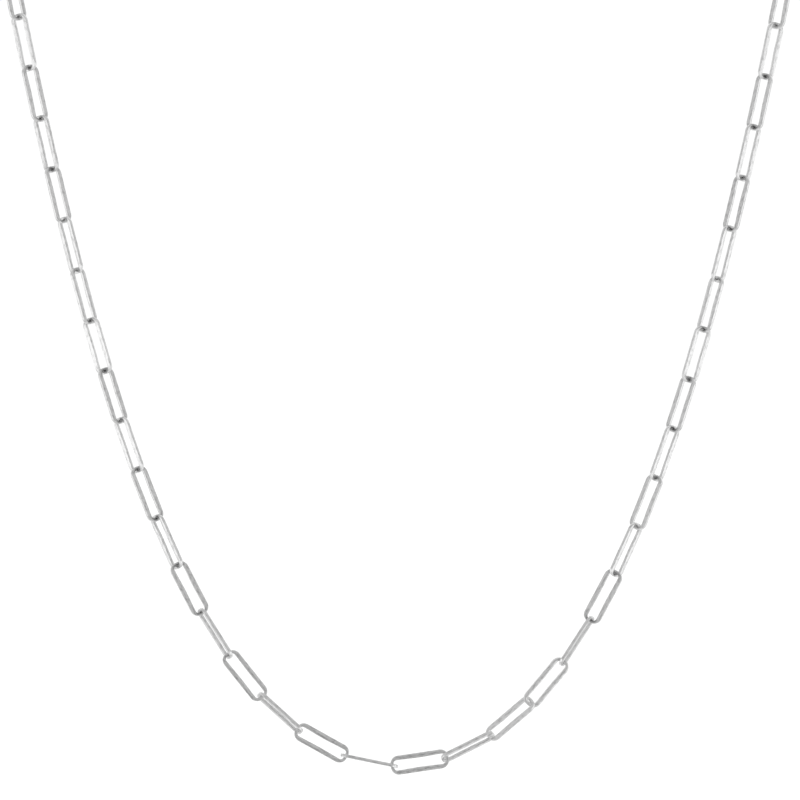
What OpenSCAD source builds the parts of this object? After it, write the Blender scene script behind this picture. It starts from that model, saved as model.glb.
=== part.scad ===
// Paperclip chain necklace: long flat-sided links, hanging as it is worn, with a plain ring clasp at the nape.
// X runs across the neck, -Y towards the viewer and +Z up. The origin is the middle of the clasp, at the nape.
// Links are numbered along the chain from left to right. Link 1 is the first of the front, and the run round the
// left of the neck has the numbers below it, the run round the right those above the last link of the front.

/* [Link] */
// Outer length of a link
link_l = 9.38; // [9.2:0.01:9.5]
// Outer width of a link
link_w = 3.06; // [3:0.02:3.2]
// Width of the wire along a link's long sides, where it is pressed flat
side_w = 0.72; // [0.5:0.02:0.74]
// Width of the wire round a link's two ends
end_w = 0.44; // [0.38:0.02:0.46]
// Thickness of a link
thick = 0.54; // [0.44:0.02:0.56]
// Radius of a link's outer corners
corner_r = 1.3; // [1.1:0.05:1.45]
// Radius of a link's inner corners
inner_r = 0.45; // [0.4:0.05:0.5]
// Least air between two links that hang in each other
play = 0.13; // [0.13:0.01:0.2]
// Air added where two links bend against each other, as a share of half the thickness
bend_room = 1.5; // [1.4:0.1:2]
// Air added where two links are turned by other than a right angle, as a share of half the thickness
turn_room = 0.7; // [0.7:0.1:1.5]

/* [Front] */
// Links that hang in front, from shoulder to shoulder
front_links = 36; // [34:1:38]
// Lowest point of the front, as a place in the count of links
low_place = 18.58; // [18:0.01:19.2]
// Links over which the curve rises from level to 45 degrees
bow = 2.83; // [2.6:0.01:3.1]
// Share of the slope that the two strands lose by the top, because they lie on a chest
lean = 0.2; // [0:0.01:0.25]
// Count of links from the lowest point over which that share is lost
lean_over = 17; // [15:1:19]

/* [Neck] */
// Links in each run round the back of the neck
side_links = 15; // [14:1:16]
// How soon the left run levels out, as a power
rise_left = 2.46; // [2:0.01:3]
// How soon the left run turns to the back, as a power
turn_left = 0.5068; // [0.45:0.0001:0.6]
// How soon the right run levels out, as a power
rise_right = 2.35; // [2:0.01:3]
// How soon the right run turns to the back, as a power
turn_right = 0.521; // [0.45:0.0001:0.6]

/* [Clasp] */
// Radius of the clasp's ring, to the middle of its tube
ring_r = 2.3; // [2:0.1:2.5]
// Thickness of the ring's tube
ring_tube = 1.2; // [1:0.05:1.3]
// Radius of the eyelet fused to the ring, to the middle of its tube
eyelet_r = 1.15; // [1.1:0.05:1.3]
// Thickness of the eyelet's tube
eyelet_tube = 0.7; // [0.6:0.05:0.8]
// How deep the eyelet's middle line lies inside the ring's tube
eyelet_sink = 0.1; // [0.05:0.05:0.3]

/* [Hidden] */
$fn = 48;
silver = [0.80, 0.80, 0.81];

// Roll of the chain about its own line: [link, degrees turned from facing the viewer]. Between rows it turns evenly.
// The links of the front lie flatter than square to each other, so their rows step to and fro.
twist = [
    [-14, 0], [0, -42],
    [1, -50], [2, -32], [3, -50], [4, -36], [5, -48], [6, -43], [7, -40], [8, -29], [9, -47], [10, -40],
    [11, -53], [12, -47], [13, -69], [14, -66], [15, -85], [16, -67], [17, -84], [18, -84], [19, -89], [20, -61],
    [21, -46], [22, -14], [23, 19], [24, 21], [25, 43], [26, 36], [27, 49], [28, 42], [29, 61], [30, 49],
    [31, 47], [32, 42], [33, 53], [34, 40], [35, 58], [36, 40],
    [37, 48], [51, 90]
];

first = 1 - side_links;
last = front_links + side_links;

// Rise of a front link in degrees: a hanging chain's curve, eased where it lies on the chest
function front_rise(n) =
    let (m = n - low_place)
    atan(m / bow * (1 - lean * pow(m / lean_over, 2)));

// Direction of link n, in the order of the count
function round_neck(start, share, rise, turn) =
    let (el = start * pow(1 - share, rise), az = 180 * pow(share, turn))
    [cos(el) * cos(az), cos(el) * sin(az), sin(el)];
function neck_share(steps) = steps / (side_links + 0.5);
function heading(n) =
    n > front_links ? round_neck(front_rise(front_links), neck_share(n - front_links), rise_right, turn_right)
    : n < 1 ? let (back = round_neck(-front_rise(1), neck_share(1 - n), rise_left, turn_left))
        [back.x, -back.y, -back.z]
    : [cos(front_rise(n)), 0, sin(front_rise(n))];

// Distance from a link's inner end to the joint with the next one. It grows where two links bend against each other
// and where they are turned by other than a right angle.
function bend(n) = acos(min(1, heading(n) * heading(n + 1)));
function skew(n) = abs(lookup(n + 1, twist) - lookup(n, twist));
function opening(n) =
    n < first || n >= last ? play
    : (play + thick / 2 * (bend_room * sin(bend(n)) + turn_room * sin(skew(n)))) / (1 + cos(bend(n)));
function reach(n) = link_l - 2 * end_w - opening(n - 1) - opening(n);

// Joints from the left end of the chain to the right, before the chain is moved to its place
joints = [for (n = first, p = [0, 0, 0]; n <= last + 1; p = n > last ? p : p + reach(n) * heading(n), n = n + 1) p];
nape = (joints[0] + joints[len(joints) - 1]) / 2;
function joint(n) = joints[n - first] - nape;

// The side of the chain that faces the viewer in front, carried along round the neck
function square_to(v, d) = let (w = v - (v * d) * d) w / norm(w);
viewer = [0, -1, 0];
sides_left = [for (n = 1, v = viewer; n >= first; n = n - 1, v = square_to(v, heading(n))) v];
sides_right = [for (n = front_links, v = viewer; n <= last; n = n + 1, v = square_to(v, heading(n))) v];
function side(n) =
    n < 1 ? sides_left[1 - n]
    : n > front_links ? sides_right[n - front_links]
    : viewer;

module rounded_plate(l, w, r) {
    square([l, w - 2 * r], center = true);
    square([l - 2 * r, w], center = true);
    for (x = [-1, 1], y = [-1, 1])
        translate([x * (l / 2 - r), y * (w / 2 - r)]) circle(r);
}

// A link lying flat, its length along X
module link() {
    translate([0, 0, -thick / 2])
        linear_extrude(thick)
            difference() {
                rounded_plate(link_l, link_w, corner_r);
                rounded_plate(link_l - 2 * end_w, link_w - 2 * side_w, inner_r);
            }
}

// Link n in its place: every second one is turned a quarter of a turn
module place_link(n) {
    along = heading(n);
    face = side(n);
    inward = cross(face, along);
    roll = lookup(n, twist) + (n % 2 == 0 ? 0 : 90);
    flat = cos(roll) * face + sin(roll) * inward;
    edge = cos(roll) * inward - sin(roll) * face;
    middle = (joint(n) + joint(n + 1)) / 2;
    multmatrix([
        [along.x, edge.x, flat.x, middle.x],
        [along.y, edge.y, flat.y, middle.y],
        [along.z, edge.z, flat.z, middle.z]
    ]) link();
}

module front_chain() {
    color(silver)
        for (n = [1 : front_links]) place_link(n);
}

module back_chain() {
    color(silver) {
        for (n = [first : 0]) place_link(n);
        for (n = [front_links + 1 : last]) place_link(n);
    }
}

// One piece without a joint: the ring takes the chain's left end and the eyelet its right end
module clasp() {
    eyelet_step = ring_r + ring_tube / 2 - eyelet_sink + eyelet_r;
    ring_end = ring_r - ring_tube / 2;
    eyelet_end = eyelet_step + eyelet_r - eyelet_tube / 2;
    color(silver)
        translate([(ring_end - eyelet_end) / 2, 0, 0])
            rotate([90, 0, 0]) {
                rotate_extrude() translate([ring_r, 0]) circle(d = ring_tube);
                translate([eyelet_step, 0, 0])
                    rotate_extrude() translate([eyelet_r, 0]) circle(d = eyelet_tube);
            }
}

front_chain();
back_chain();
clasp();
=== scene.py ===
import math
import random

import bmesh
import bpy
import numpy
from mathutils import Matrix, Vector


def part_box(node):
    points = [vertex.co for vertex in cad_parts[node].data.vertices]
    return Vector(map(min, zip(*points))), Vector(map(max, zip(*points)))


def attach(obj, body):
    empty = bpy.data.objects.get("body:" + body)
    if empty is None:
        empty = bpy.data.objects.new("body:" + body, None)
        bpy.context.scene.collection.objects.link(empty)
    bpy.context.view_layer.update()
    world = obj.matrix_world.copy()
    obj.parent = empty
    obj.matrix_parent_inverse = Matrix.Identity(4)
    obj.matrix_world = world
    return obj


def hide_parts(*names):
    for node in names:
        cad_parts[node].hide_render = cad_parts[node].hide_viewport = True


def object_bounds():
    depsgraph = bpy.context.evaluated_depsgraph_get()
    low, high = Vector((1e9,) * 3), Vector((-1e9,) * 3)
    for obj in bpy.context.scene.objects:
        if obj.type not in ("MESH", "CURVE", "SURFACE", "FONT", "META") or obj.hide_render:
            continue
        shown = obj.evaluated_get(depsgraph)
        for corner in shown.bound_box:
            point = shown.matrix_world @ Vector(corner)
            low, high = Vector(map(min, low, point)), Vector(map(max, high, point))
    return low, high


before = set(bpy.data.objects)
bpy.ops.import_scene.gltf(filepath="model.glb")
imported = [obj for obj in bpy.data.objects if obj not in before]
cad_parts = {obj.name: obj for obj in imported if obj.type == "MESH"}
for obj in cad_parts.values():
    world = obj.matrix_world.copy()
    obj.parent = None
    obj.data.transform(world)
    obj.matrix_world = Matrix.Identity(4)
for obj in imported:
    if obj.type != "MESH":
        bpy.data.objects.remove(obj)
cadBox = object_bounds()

# A silver paperclip chain as it hangs when worn, in front of white. Names that end in Mm hold millimetres,
# and those that end in M hold metres.
mm = 0.001
chance = random.Random(7)


def linearFromHex(code):
    # sRGB hex to the linear values that the shader wants
    parts = [int(code[i:i + 2], 16) / 255 for i in (1, 3, 5)]
    return [p / 12.92 if p <= 0.04045 else ((p + 0.055) / 1.055) ** 2.4 for p in parts] + [1.0]


def addNode(tree, kind, settings=None, links=None):
    # Sockets go by name, or by number where several share one. A mix of numbers has its share at 0, its two
    # values at 2 and 3 and its result at 0; a mix of colours has them at 0, at 6 and 7, and at 2.
    node = tree.nodes.new(kind)
    for name, value in (settings or {}).items():
        if isinstance(name, int) or name in node.inputs:
            node.inputs[name].default_value = value
        else:
            setattr(node, name, value)
    for name, source in (links or {}).items():
        tree.links.new(source, node.inputs[name])
    return node


# Sterling silver wire, bent, soldered, pressed flat along its sides and tumbled bright. The eye gets a soft
# mirror with faint streaks along the wire, and darker joints: painted shade plus a film that no cloth
# reaches.
drawnSilver = {
    "colour": "#f5f5f5",
    "shadeAndFilmColour": "#929292",
    "roughness": (0.125, 0.195),  # of the smoothest spots and of the roughest
    "filmRoughness": 0.2,         # what a full film adds to it
    "streakMm": 0.32,             # real streaks are 0.02 mm wide, too fine to show, so these are coarser
    "streakLength": 3.0,          # as a count of their width
    "streakRange": (0.45, 0.7),   # values of the noise from no streak to the darkest
    "streakHeightMm": 0.006,
    "streakShare": 0.52,          # how much film the darkest streaks carry
    "unevenMm": 0.9,              # length of the dents that pressing and tumbling leave
    "unevenRange": (0.3, 0.7),    # values of the noise from the smoothest spots to the roughest
    "unevenHeightMm": 0.014,
    "toneShare": 0.08,            # how much more or less film than usual a link may carry
}


def drawnSilverMaterial(name, look):
    material = bpy.data.materials.new(name)
    material.use_nodes = True
    tree = material.node_tree
    tree.nodes.clear()
    wirePlace = addNode(tree, "ShaderNodeUVMap", {"uv_map": "wireMm"}).outputs["UV"]
    # this attribute holds painted shade at the joints, where the links hang in each other, together with a
    # film
    shadeAndFilm = addNode(tree, "ShaderNodeAttribute", {"attribute_name": "shadeAndFilm"}).outputs["Fac"]
    tone = addNode(tree, "ShaderNodeAttribute", {"attribute_name": "tone"}).outputs["Fac"]

    # streaks along the wire, and longer dents under them
    alongWire = addNode(tree, "ShaderNodeMapping", {"Scale": (1 / look["streakLength"], 1, 1)},
                        {"Vector": wirePlace})
    lines = addNode(tree, "ShaderNodeTexNoise",
                    {"Scale": 1 / look["streakMm"], "Detail": 2.0, "Roughness": 0.6},
                    {"Vector": alongWire.outputs["Vector"]})
    waves = addNode(tree, "ShaderNodeTexNoise",
                    {"Scale": 1 / look["unevenMm"], "Detail": 2.0, "Roughness": 0.5},
                    {"Vector": wirePlace})
    waveBump = addNode(tree, "ShaderNodeBump", {"Strength": 1.0, "Distance": look["unevenHeightMm"] * mm},
                       {"Height": waves.outputs["Fac"]})
    lineBump = addNode(tree, "ShaderNodeBump", {"Strength": 1.0, "Distance": look["streakHeightMm"] * mm},
                       {"Height": lines.outputs["Fac"], "Normal": waveBump.outputs["Normal"]})

    low, high = look["unevenRange"]
    smoothest, roughest = look["roughness"]
    roughSpots = addNode(tree, "ShaderNodeMapRange",
                         {"From Min": low, "From Max": high, "To Min": smoothest, "To Max": roughest},
                         {"Value": waves.outputs["Fac"]})
    roughWithFilm = addNode(tree, "ShaderNodeMath", {"operation": "MULTIPLY_ADD", 1: look["filmRoughness"]},
                            {0: shadeAndFilm, 2: roughSpots.outputs["Result"]})

    # painted shade and film at the joints, film in the streaks and, a little, film all over a link turn the
    # clean colour darker
    low, high = look["streakRange"]
    streaks = addNode(tree, "ShaderNodeMapRange",
                      {"From Min": low, "From Max": high, "To Min": 0.0, "To Max": look["streakShare"]},
                      {"Value": lines.outputs["Fac"]})
    streakFilmAndShade = addNode(tree, "ShaderNodeMath", {"operation": "ADD"},
                         {0: streaks.outputs["Result"], 1: shadeAndFilm})
    shadeAndFilmShare = addNode(tree, "ShaderNodeMath",
                        {"operation": "MULTIPLY_ADD", 1: look["toneShare"], "use_clamp": True},
                        {0: tone, 2: streakFilmAndShade.outputs[0]})
    clean, shadedAndFilmed = linearFromHex(look["colour"]), linearFromHex(look["shadeAndFilmColour"])
    colour = addNode(tree, "ShaderNodeMix", {"data_type": "RGBA", 6: clean, 7: shadedAndFilmed},
                     {0: shadeAndFilmShare.outputs[0]})

    shader = addNode(tree, "ShaderNodeBsdfPrincipled", {"Metallic": 1.0},
                     {"Base Color": colour.outputs[2], "Roughness": roughWithFilm.outputs[0],
                      "Normal": lineBump.outputs["Normal"]})
    addNode(tree, "ShaderNodeOutputMaterial", {}, {"Surface": shader.outputs["BSDF"]})
    return material


# Sterling silver, cast and polished on the wheel. The eye gets a full mirror that is very slightly uneven.
castSilver = {
    "colour": "#f5f5f5",
    "roughness": (0.096, 0.168),  # of the smoothest spots and of the roughest
    "waveMm": 1.6,                # length of the waves that the wheel leaves
    "waveHeightMm": 0.006,
    "scuffMm": 0.12,              # real scuffs are 0.01 mm wide, too fine to show, so these are coarser
    "scuffRange": (0.35, 0.65),   # values of the noise from the smoothest spots to the roughest
    "scuffHeightMm": 0.0006,
}


def castSilverMaterial(name, look):
    material = bpy.data.materials.new(name)
    material.use_nodes = True
    tree = material.node_tree
    tree.nodes.clear()
    place = addNode(tree, "ShaderNodeTexCoord").outputs["Object"]
    waves = addNode(tree, "ShaderNodeTexNoise", {"Scale": 1 / (look["waveMm"] * mm), "Detail": 1.0},
                    {"Vector": place})
    scuffs = addNode(tree, "ShaderNodeTexNoise", {"Scale": 1 / (look["scuffMm"] * mm), "Detail": 3.0},
                     {"Vector": place})
    waveBump = addNode(tree, "ShaderNodeBump", {"Strength": 1.0, "Distance": look["waveHeightMm"] * mm},
                       {"Height": waves.outputs["Fac"]})
    scuffBump = addNode(tree, "ShaderNodeBump", {"Strength": 1.0, "Distance": look["scuffHeightMm"] * mm},
                        {"Height": scuffs.outputs["Fac"], "Normal": waveBump.outputs["Normal"]})
    low, high = look["scuffRange"]
    smoothest, roughest = look["roughness"]
    roughSpots = addNode(tree, "ShaderNodeMapRange",
                         {"From Min": low, "From Max": high, "To Min": smoothest, "To Max": roughest},
                         {"Value": scuffs.outputs["Fac"]})
    shader = addNode(tree, "ShaderNodeBsdfPrincipled",
                     {"Metallic": 1.0, "Base Color": linearFromHex(look["colour"])},
                     {"Roughness": roughSpots.outputs["Result"], "Normal": scuffBump.outputs["Normal"]})
    addNode(tree, "ShaderNodeOutputMaterial", {}, {"Surface": shader.outputs["BSDF"]})
    return material


wireSilver = drawnSilverMaterial("drawnSterlingSilver", drawnSilver)
claspSilver = castSilverMaterial("castSterlingSilver", castSilver)
print("silver made for the wire and for the clasp")

# One link of the chain. Its length, width and thickness come from the CAD link that it stands in for.
linkShape = {
    "sideWidthMm": 0.72,        # the wire along the long sides, pressed flat
    "swellMm": 0.08,            # how much wider it is in the middle of a side, where it was pressed most
    "swellSpread": (0.6, 1.3),  # least and most of that, as shares
    "endWidthMm": 0.44,         # the wire round the ends
    "hookedWithinMm": 1.0,      # two ends that lie nearer than this hang in each other
    "claspAirMm": 0.12,         # what the two ends that hang in the clasp are wider by
    "outerCornerMm": 1.3,
    "innerCornerMm": 0.45,
    "edgeRadiusMm": 0.05,       # the wire's edges, eased by the tumbling
    "crownMm": 0.025,           # its faces are a little domed, as round wire stays when it is pressed
    "cornerSteps": 8,
    "sideSteps": 10,
    "endSteps": 2,
    "edgeSteps": 4,
    "faceSteps": 4,
    "faceWeight": 90,           # over 50, wide faces count more in the shading than narrow ones
    "shadeAndFilmReachMm": 1.3,         # how far from a link's end the painted shade and the dark film reach
    "shadeAndFilmStrength": 1.4,        # over 1, so that the darkest ends stay full a little way back
    "shadeAndFilmLeast": 0.35,          # the lightest end's share of the darkest end's painted shade and film
    "shadeAndFilmFromMm": (8, 20),      # the painted shade and film set in between these heights over the chain's lowest point
}


def wireSection(halfWide, halfThick, shape):
    # the outline of the wire as (outward, up) pairs, anticlockwise: an eased edge, a domed face, and so on
    ease, crown = shape["edgeRadiusMm"], shape["crownMm"]
    edgeSteps, faceSteps = shape["edgeSteps"], shape["faceSteps"]
    arcs = []
    for quarter, (signX, signY) in enumerate([(1, 1), (-1, 1), (-1, -1), (1, -1)]):
        middle = Vector((signX * (halfWide - crown - ease), signY * (halfThick - crown - ease)))
        angles = [(quarter + step / edgeSteps) * math.pi / 2 for step in range(edgeSteps + 1)]
        arcs.append([middle + ease * Vector((math.cos(angle), math.sin(angle))) for angle in angles])
    points = []
    for quarter, arc in enumerate(arcs):
        following = arcs[(quarter + 1) % 4][0]
        outward = Vector((math.cos((quarter + 1) * math.pi / 2), math.sin((quarter + 1) * math.pi / 2)))
        points += arc
        # the dome stands highest in the middle of its face
        for step in range(1, faceSteps):
            share = step / faceSteps
            points.append(arc[-1].lerp(following, share) + outward * crown * 4 * share * (1 - share))
    return points


def linkPath(length, width, endWidths, shape):
    # pairs of points on the inner and the outer edge of a link, all round it
    swells = [shape["swellMm"] * chance.uniform(*shape["swellSpread"]) for side in range(2)]
    innerRadius, outerRadius = shape["innerCornerMm"], shape["outerCornerMm"]
    arcs = []
    for quarter, (signX, signY) in enumerate([(1, 1), (-1, 1), (-1, -1), (1, -1)]):
        innerMiddle = Vector((signX * (length / 2 - endWidths[signX] - innerRadius),
                              signY * (width / 2 - shape["sideWidthMm"] - innerRadius)))
        outerMiddle = Vector((signX * (length / 2 - outerRadius), signY * (width / 2 - outerRadius)))
        arc = []
        for step in range(shape["cornerSteps"] + 1):
            angle = (quarter + step / shape["cornerSteps"]) * math.pi / 2
            away = Vector((math.cos(angle), math.sin(angle)))
            arc.append((innerMiddle + innerRadius * away, outerMiddle + outerRadius * away))
        arcs.append(arc)
    path = []
    for quarter, arc in enumerate(arcs):
        # a long side follows the first and the third corner, an end follows the others
        longSide = quarter % 2 == 0
        steps = shape["sideSteps"] if longSide else shape["endSteps"]
        following = arcs[(quarter + 1) % 4][0]
        path += arc
        for step in range(1, steps):
            share = step / steps
            inner, outer = arc[-1][0].lerp(following[0], share), arc[-1][1].lerp(following[1], share)
            if longSide:
                swell = swells[quarter // 2] * math.sin(share * math.pi) ** 2
                inner = inner + (inner - outer).normalized() * swell
            path.append((inner, outer))
    return path


def readIslands(nodeName):
    # the points of each separate island of a CAD node's mesh, once those in one place are welded
    mesh = bmesh.new()
    mesh.from_mesh(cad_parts[nodeName].data)
    bmesh.ops.remove_doubles(mesh, verts=mesh.verts, dist=0.0001 * mm)
    islands = []
    waiting = set(mesh.verts)
    for first in mesh.verts:
        if first not in waiting:
            continue
        waiting.discard(first)
        island, reached = [], [first]
        while reached:
            vertex = reached.pop()
            island.append(vertex.co[:])
            for edge in vertex.link_edges:
                other = edge.other_vert(vertex)
                if other in waiting:
                    waiting.discard(other)
                    reached.append(other)
        islands.append(numpy.array(island))
    mesh.free()
    return islands


def readLinks(nodeName):
    # each link of a CAD chain is one island, and its place, its directions and its size are measured on that
    links = []
    for points in readIslands(nodeName):
        # a link reaches furthest along its sides, less across them and least through its thickness
        middle = points.mean(axis=0)
        axes = numpy.linalg.eigh(numpy.cov((points - middle).T))[1]
        along, across = axes[:, 2], axes[:, 1]
        along = along if along[0] >= 0 else -along
        flat = numpy.cross(along, across)
        directions = numpy.array([along, across, flat])
        placed = (points - middle) @ directions.T
        low, high = placed.min(axis=0), placed.max(axis=0)
        centre = middle + (high + low) / 2 @ directions
        links.append({"centre": centre, "axes": (along, across, flat), "size": high - low})
    print(nodeName, "read:", len(links), "links")
    # always in the same order, from left to right
    return sorted(links, key=lambda link: (round(link["centre"][0], 6), round(link["centre"][1], 6)))


def fitEnds(links, shape):
    # the CAD leaves a little air where links hang in each other or in the clasp, so the ends are made wider
    # until they rest on what they hang in
    ends = []
    for link in links:
        link["endWidths"] = {}
        for sign in (1, -1):
            reach = link["size"][0] / 2 - shape["endWidthMm"] * mm
            ends.append((link, sign, link["centre"] + sign * link["axes"][0] * reach))
    for link, sign, place in ends:
        others = [end for end in ends if end[0] is not link]
        neighbour, _, met = min(others, key=lambda end: numpy.linalg.norm(place - end[2]))
        air = numpy.linalg.norm(place - met)
        if air <= shape["hookedWithinMm"] * mm:
            # each of the two takes half of the air that is left beside their bend
            bend = numpy.linalg.norm(numpy.cross(link["axes"][0], neighbour["axes"][0]))
            wider = max(0.0, air - bend * link["size"][2] / 2) / 2
        else:
            wider = shape["claspAirMm"] * mm
        link["endWidths"][sign] = shape["endWidthMm"] + wider / mm


def sweepLink(link, shape):
    # carries the wire's outline round one link. Gives its points with the joint's painted shade and film and
    # the tone of each, and row by row their places on the unrolled wire, in millimetres along and round it.
    length, width, thick = (link["size"] / mm).tolist()
    path = linkPath(length, width, link["endWidths"], shape)
    tone = chance.uniform(-1, 1)
    walked = chance.uniform(0, 100)  # where on the streaks this link begins
    endShadeAndFilm = {sign: chance.uniform(shape["shadeAndFilmLeast"], 1) for sign in (1, -1)}
    height = (link["centre"][2] - cadBox[0].z) / mm
    shadeAndFilmFrom, shadeAndFilmFull = shape["shadeAndFilmFromMm"]
    shadeAndFilmHere = min(1.0, max(0.0, (height - shadeAndFilmFrom) / (shadeAndFilmFull - shadeAndFilmFrom)))
    centre = Vector(link["centre"])
    along, across, flat = (Vector(axis) for axis in link["axes"])
    points, shadesAndFilms, rows = [], [], []
    for station, (inner, outer) in enumerate(path):
        middle, outward = (inner + outer) / 2, (outer - inner).normalized()
        halfWide = (outer - inner).length / 2
        section = wireSection(halfWide, thick / 2, shape)
        # painted shade, with a film, darkens each end where the next link hangs in it, most on the wire's
        # inner side
        endward = max(0.0, abs(middle.x) - (length / 2 - shape["shadeAndFilmReachMm"])) / shape["shadeAndFilmReachMm"]
        shadeAndFilm = endward * shadeAndFilmHere * endShadeAndFilm[1 if middle.x > 0 else -1]
        for out, up in section:
            place = middle + outward * out
            points.append(centre + (along * place.x + across * place.y + flat * up) * mm)
            innerShare = (1 - out / halfWide) / 2
            shadesAndFilms.append(min(1.0, shadeAndFilm * innerShare * shape["shadeAndFilmStrength"]))
        around = [0.0]
        for here, there in zip(section, section[1:] + section[:1]):
            around.append(around[-1] + (there - here).length)
        rows.append([(walked, distance) for distance in around])
        following = path[(station + 1) % len(path)]
        walked += ((following[0] + following[1]) / 2 - middle).length
    rows.append([(walked, distance) for _, distance in rows[0]])
    return points, shadesAndFilms, [tone] * len(points), rows


def joinRows(start, rows):
    # the faces between the rows of a link's points, and the place on the wire of each corner of a face
    faces, corners = [], []
    rings, spots = len(rows) - 1, len(rows[0]) - 1
    for ring in range(rings):
        for spot in range(spots):
            nextRing, nextSpot = (ring + 1) % rings, (spot + 1) % spots
            faces.append((start + ring * spots + spot, start + nextRing * spots + spot,
                          start + nextRing * spots + nextSpot, start + ring * spots + nextSpot))
            corners += [rows[ring][spot], rows[ring + 1][spot],
                        rows[ring + 1][spot + 1], rows[ring][spot + 1]]
    return faces, corners


def addPiece(pieceName, nodeName, mesh, material):
    mesh.shade_smooth()
    mesh.materials.append(material)
    piece = bpy.data.objects.new(pieceName, mesh)
    bpy.context.scene.collection.objects.link(piece)
    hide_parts(nodeName)
    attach(piece, "root")
    return piece


def buildChain(pieceName, nodeName, links, material, shape):
    points, shadesAndFilms, tones, faces, corners = [], [], [], [], []
    for link in links:
        linkPoints, linkShadesAndFilms, linkTones, rows = sweepLink(link, shape)
        linkFaces, linkCorners = joinRows(len(points), rows)
        points += linkPoints
        shadesAndFilms += linkShadesAndFilms
        tones += linkTones
        faces += linkFaces
        corners += linkCorners
    mesh = bpy.data.meshes.new(pieceName)
    mesh.from_pydata(points, [], faces)
    wirePlace = mesh.uv_layers.new(name="wireMm")
    wirePlace.uv.foreach_set("vector", [value for corner in corners for value in corner])
    for name, values in (("shadeAndFilm", shadesAndFilms), ("tone", tones)):
        mesh.attributes.new(name, "FLOAT", "POINT").data.foreach_set("value", values)
    piece = addPiece(pieceName, nodeName, mesh, material)
    flatFaces = piece.modifiers.new("flatFaces", "WEIGHTED_NORMAL")
    flatFaces.weight = shape["faceWeight"]
    print(pieceName, "built:", len(links), "links,", len(faces) * 2, "triangles")


frontLinks, backLinks = readLinks("front_chain"), readLinks("back_chain")
fitEnds(frontLinks + backLinks, linkShape)
buildChain("frontChain", "front_chain", frontLinks, wireSilver, linkShape)
buildChain("backChain", "back_chain", backLinks, wireSilver, linkShape)

# The clasp is one plain piece: a ring with a small eyelet soldered to its side. The ring takes its place and
# size from the CAD, and the eyelet reaches as far to the right as the CAD's.
claspShape = {
    "eyeletRadiusMm": 1.15,    # to the middle of its tube
    "eyeletTubeMm": 0.7,
    "voxelMm": 0.07,           # the two are fused at this fineness
    "smoothing": 10,           # passes that turn the crease between the two into a fillet of solder
    "smoothingShare": 0.5,     # of the way to its neighbours that a pass moves each point
    "ringSteps": 96,
    "tubeSteps": 32,
}


def addRing(mesh, middleX, radius, tube, shape):
    # all sizes in metres; the ring of round tube stands upright and faces the viewer
    rings = []
    for step in range(shape["ringSteps"]):
        turn = step / shape["ringSteps"] * 2 * math.pi
        ring = []
        for spot in range(shape["tubeSteps"]):
            roll = spot / shape["tubeSteps"] * 2 * math.pi
            reach = radius + tube / 2 * math.cos(roll)
            place = (middleX + reach * math.cos(turn), tube / 2 * math.sin(roll), reach * math.sin(turn))
            ring.append(mesh.verts.new(place))
        rings.append(ring)
    for step, ring in enumerate(rings):
        following = rings[(step + 1) % len(rings)]
        for spot in range(len(ring)):
            after = (spot + 1) % len(ring)
            mesh.faces.new((ring[spot], following[spot], following[after], ring[after]))


def buildClasp(pieceName, nodeName, material, shape):
    low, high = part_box(nodeName)
    ringTube = high.y - low.y
    ringRadius = (high.z - low.z - ringTube) / 2
    eyeletRadius, eyeletTube = shape["eyeletRadiusMm"] * mm, shape["eyeletTubeMm"] * mm
    rings = bmesh.new()
    addRing(rings, low.x + ringTube / 2 + ringRadius, ringRadius, ringTube, shape)
    addRing(rings, high.x - eyeletTube / 2 - eyeletRadius, eyeletRadius, eyeletTube, shape)
    bmesh.ops.recalc_face_normals(rings, faces=rings.faces)
    mesh = bpy.data.meshes.new(pieceName)
    rings.to_mesh(mesh)
    rings.free()
    piece = addPiece(pieceName, nodeName, mesh, material)
    fuse = piece.modifiers.new("fuse", "REMESH")
    fuse.mode = "VOXEL"
    fuse.voxel_size = shape["voxelMm"] * mm
    fuse.use_smooth_shade = True
    fillet = piece.modifiers.new("fillet", "SMOOTH")
    fillet.factor = shape["smoothingShare"]
    fillet.iterations = shape["smoothing"]
    print(pieceName, "built: a ring and its eyelet")


buildClasp("claspRing", "clasp", claspSilver, claspShape)

# The studio: white paper below and a grey room above. Cards of other brightness hang in it, each seen from
# the chain as a round patch; later cards hang in front of earlier ones.
studio = {
    "floorColour": "#f2f2f2",
    "floorRoughness": 0.9,
    "floorBelowM": 0.30,           # from the lowest link down to the floor
    "floorSizeM": 60.0,
    "paperWhite": 1.1,
    "roomGrey": 0.59,
    "horizon": (-0.15, 0.06),      # upward part of the direction over which paper turns to room
    "backdrop": 1.04,              # what the camera itself sees all round
    "cards": [
        # what it is, where it hangs, degrees from its middle to the edge of its even part and to its end,
        # brightness
        ("shaded floor under the chain", (0, 0, -1), (30, 72), 0.6),
        ("side wall on the left", (-1, 0, -0.2), (6, 24), 1.04),
        ("side wall on the right", (1, 0, -0.2), (6, 24), 1.04),
        ("grey wall on the camera's side", (0, -1, 0), (34, 50), 0.54),
        ("camera and its hood", (0, -1, -0.06), (3, 11), 0.42),
        ("pale wall behind the chain", (0, 1, 0), (55, 96), 0.8),
    ],
    "sunPower": 2.2,
    "sunSpreadDegrees": 50.0,
    "sunFrom": (0.35, -0.45, 1.0),
}


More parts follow.
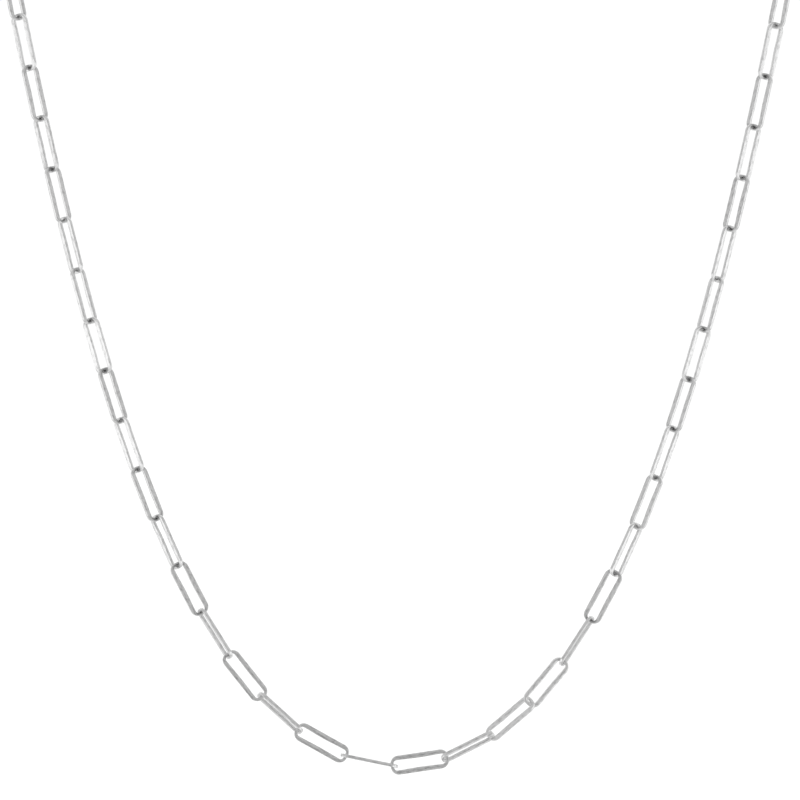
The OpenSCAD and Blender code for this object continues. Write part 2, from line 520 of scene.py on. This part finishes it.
def buildFloor(look):
    # matt white paper, which gives the eye an even white without gloss
    material = bpy.data.materials.new("mattWhitePaper")
    material.use_nodes = True
    paper = material.node_tree.nodes["Principled BSDF"]
    paper.inputs["Base Color"].default_value = linearFromHex(look["floorColour"])
    paper.inputs["Roughness"].default_value = look["floorRoughness"]
    half = look["floorSizeM"] / 2
    corners = [(-half, -half, 0), (half, -half, 0), (half, half, 0), (-half, half, 0)]
    mesh = bpy.data.meshes.new("floor")
    mesh.from_pydata(corners, [], [(0, 1, 2, 3)])
    mesh.materials.append(material)
    floor = bpy.data.objects.new("floor", mesh)
    floor.location.z = cadBox[0].z - look["floorBelowM"]
    floor.visible_glossy = False
    bpy.context.scene.collection.objects.link(floor)


def buildRoom(look):
    world = bpy.data.worlds.new("studio")
    bpy.context.scene.world = world
    world.use_nodes = True
    tree = world.node_tree
    tree.nodes.clear()
    smooth = {"interpolation_type": "SMOOTHSTEP", "To Min": 0.0, "To Max": 1.0}
    direction = addNode(tree, "ShaderNodeTexCoord").outputs["Generated"]
    upward = addNode(tree, "ShaderNodeSeparateXYZ", {}, {"Vector": direction}).outputs["Z"]
    low, high = look["horizon"]
    aboveHorizon = addNode(tree, "ShaderNodeMapRange", {**smooth, "From Min": low, "From Max": high},
                           {"Value": upward})
    room = addNode(tree, "ShaderNodeMix", {"data_type": "FLOAT", 2: look["paperWhite"], 3: look["roomGrey"]},
                   {0: aboveHorizon.outputs["Result"]})
    for what, toward, reach, brightness in look["cards"]:
        evenPart, end = (math.cos(math.radians(angle)) for angle in reach)
        nearness = addNode(tree, "ShaderNodeVectorMath",
                           {"operation": "DOT_PRODUCT", 1: Vector(toward).normalized()}, {0: direction})
        share = addNode(tree, "ShaderNodeMapRange", {**smooth, "From Min": end, "From Max": evenPart},
                        {"Value": nearness.outputs["Value"]})
        room = addNode(tree, "ShaderNodeMix", {"data_type": "FLOAT", "label": what, 3: brightness},
                       {0: share.outputs["Result"], 2: room.outputs[0]})
    seen = addNode(tree, "ShaderNodeLightPath").outputs["Is Camera Ray"]
    shown = addNode(tree, "ShaderNodeMix", {"data_type": "FLOAT", 3: look["backdrop"]},
                    {0: seen, 2: room.outputs[0]})
    light = addNode(tree, "ShaderNodeBackground", {"Color": (1, 1, 1, 1)}, {"Strength": shown.outputs[0]})
    addNode(tree, "ShaderNodeOutputWorld", {}, {"Surface": light.outputs["Background"]})


def buildSun(look):
    sun = bpy.data.lights.new("softSun", "SUN")
    sun.energy = look["sunPower"]
    sun.angle = math.radians(look["sunSpreadDegrees"])
    sunObject = bpy.data.objects.new("softSun", sun)
    sunObject.rotation_euler = Vector(look["sunFrom"]).to_track_quat("Z", "Y").to_euler()
    sunObject.visible_glossy = False
    bpy.context.scene.collection.objects.link(sunObject)


buildFloor(studio)
buildRoom(studio)
buildSun(studio)
bpy.context.scene.view_settings.view_transform = "Standard"
print("studio built with", len(studio["cards"]), "cards")

# The camera looks level at the front of the chain, which hangs in one upright plane
picture = {
    "lensMm": 150.0,
    "sensorMm": 36.0,
    "frameMm": 128.0,          # height and width of the picture, at the front of the chain
    "middleXMm": -0.35,
    "middleZMm": -109.9,
    "clipM": (0.01, 100.0),    # nearest and furthest that it sees
}


def buildCamera(look):
    camera = bpy.data.cameras.new("camera")
    camera.lens = look["lensMm"]
    camera.sensor_width = look["sensorMm"]
    camera.clip_start, camera.clip_end = look["clipM"]
    cameraObject = bpy.data.objects.new("camera", camera)
    frontPlane = sum(corner.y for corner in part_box("front_chain")) / 2
    distance = look["frameMm"] * mm * look["lensMm"] / look["sensorMm"]
    cameraObject.location = (look["middleXMm"] * mm, frontPlane - distance, look["middleZMm"] * mm)
    cameraObject.rotation_euler = (math.pi / 2, 0, 0)
    bpy.context.scene.collection.objects.link(cameraObject)
    bpy.context.scene.camera = cameraObject
    print("camera placed", round(distance, 3), "m in front of the chain")


buildCamera(picture)
